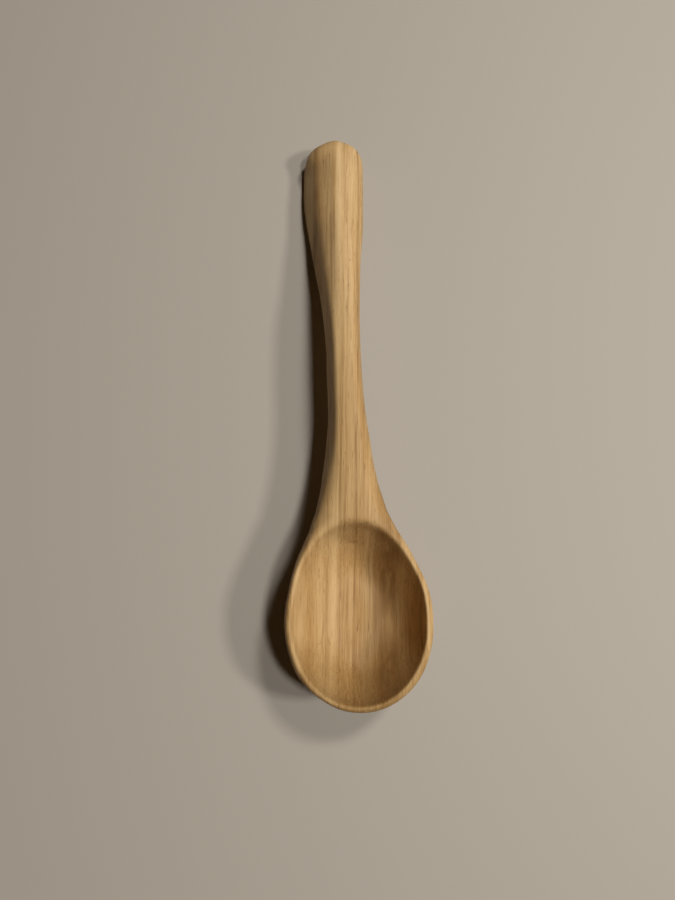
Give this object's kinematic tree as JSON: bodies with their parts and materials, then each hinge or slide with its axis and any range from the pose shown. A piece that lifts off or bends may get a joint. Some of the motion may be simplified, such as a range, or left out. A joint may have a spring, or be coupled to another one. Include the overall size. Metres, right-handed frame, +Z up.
{
  "type": "wooden spoon",
  "caption": "Carved wooden spoon with a deep egg-shaped bowl, a slim arched neck and a handle that flares to a thick rounded end.",
  "frame": {"origin": "centre of the spoon's outline, on the table it lies on", "axes": "+Y along the handle away from the bowl, +Z up out of the open bowl, X across"},
  "size_m": [0.046, 0.2, 0.0229],
  "materials": {
    "wood": "oiled satin"
  },
  "bodies": {
    "root": {"spoon": "wood"}
  },
  "joints": []
}
